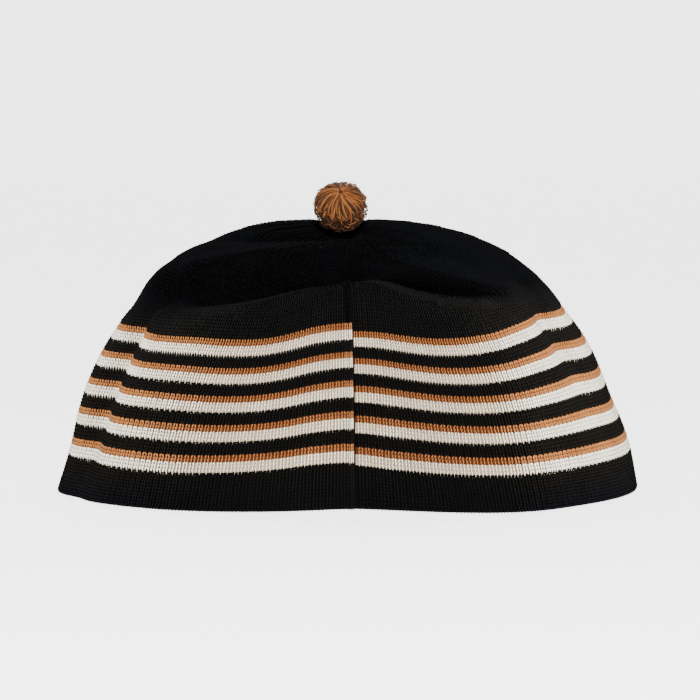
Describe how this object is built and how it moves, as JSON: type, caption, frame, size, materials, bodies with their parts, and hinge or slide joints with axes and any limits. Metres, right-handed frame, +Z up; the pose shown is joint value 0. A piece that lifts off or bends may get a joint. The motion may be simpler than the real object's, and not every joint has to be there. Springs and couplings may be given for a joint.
{
  "type": "kufi",
  "caption": "Knitted cap with a striped wall, a soft gathered crown that slumps at the front and a small yarn pompom.",
  "frame": {"origin": "middle of the part's box across and front to back, on the surface that the hem stands on", "axes": "+Z up through the crown; +X to the right of someone who faces the seam, along the wide way of the rim; +Y from the seam's side to the far wall"},
  "size_m": [0.1998, 0.1276, 0.107],
  "materials": {
    "black_yarn": "matt knitted black yarn",
    "tan_yarn": "matt knitted tan brown yarn",
    "white_yarn": "matt knitted off-white yarn"
  },
  "bodies": {
    "root": {"knitted_body": "black_yarn", "sewn_seam": "black_yarn", "pompom_tie": "black_yarn", "pompom": "tan_yarn"}
  },
  "joints": []
}
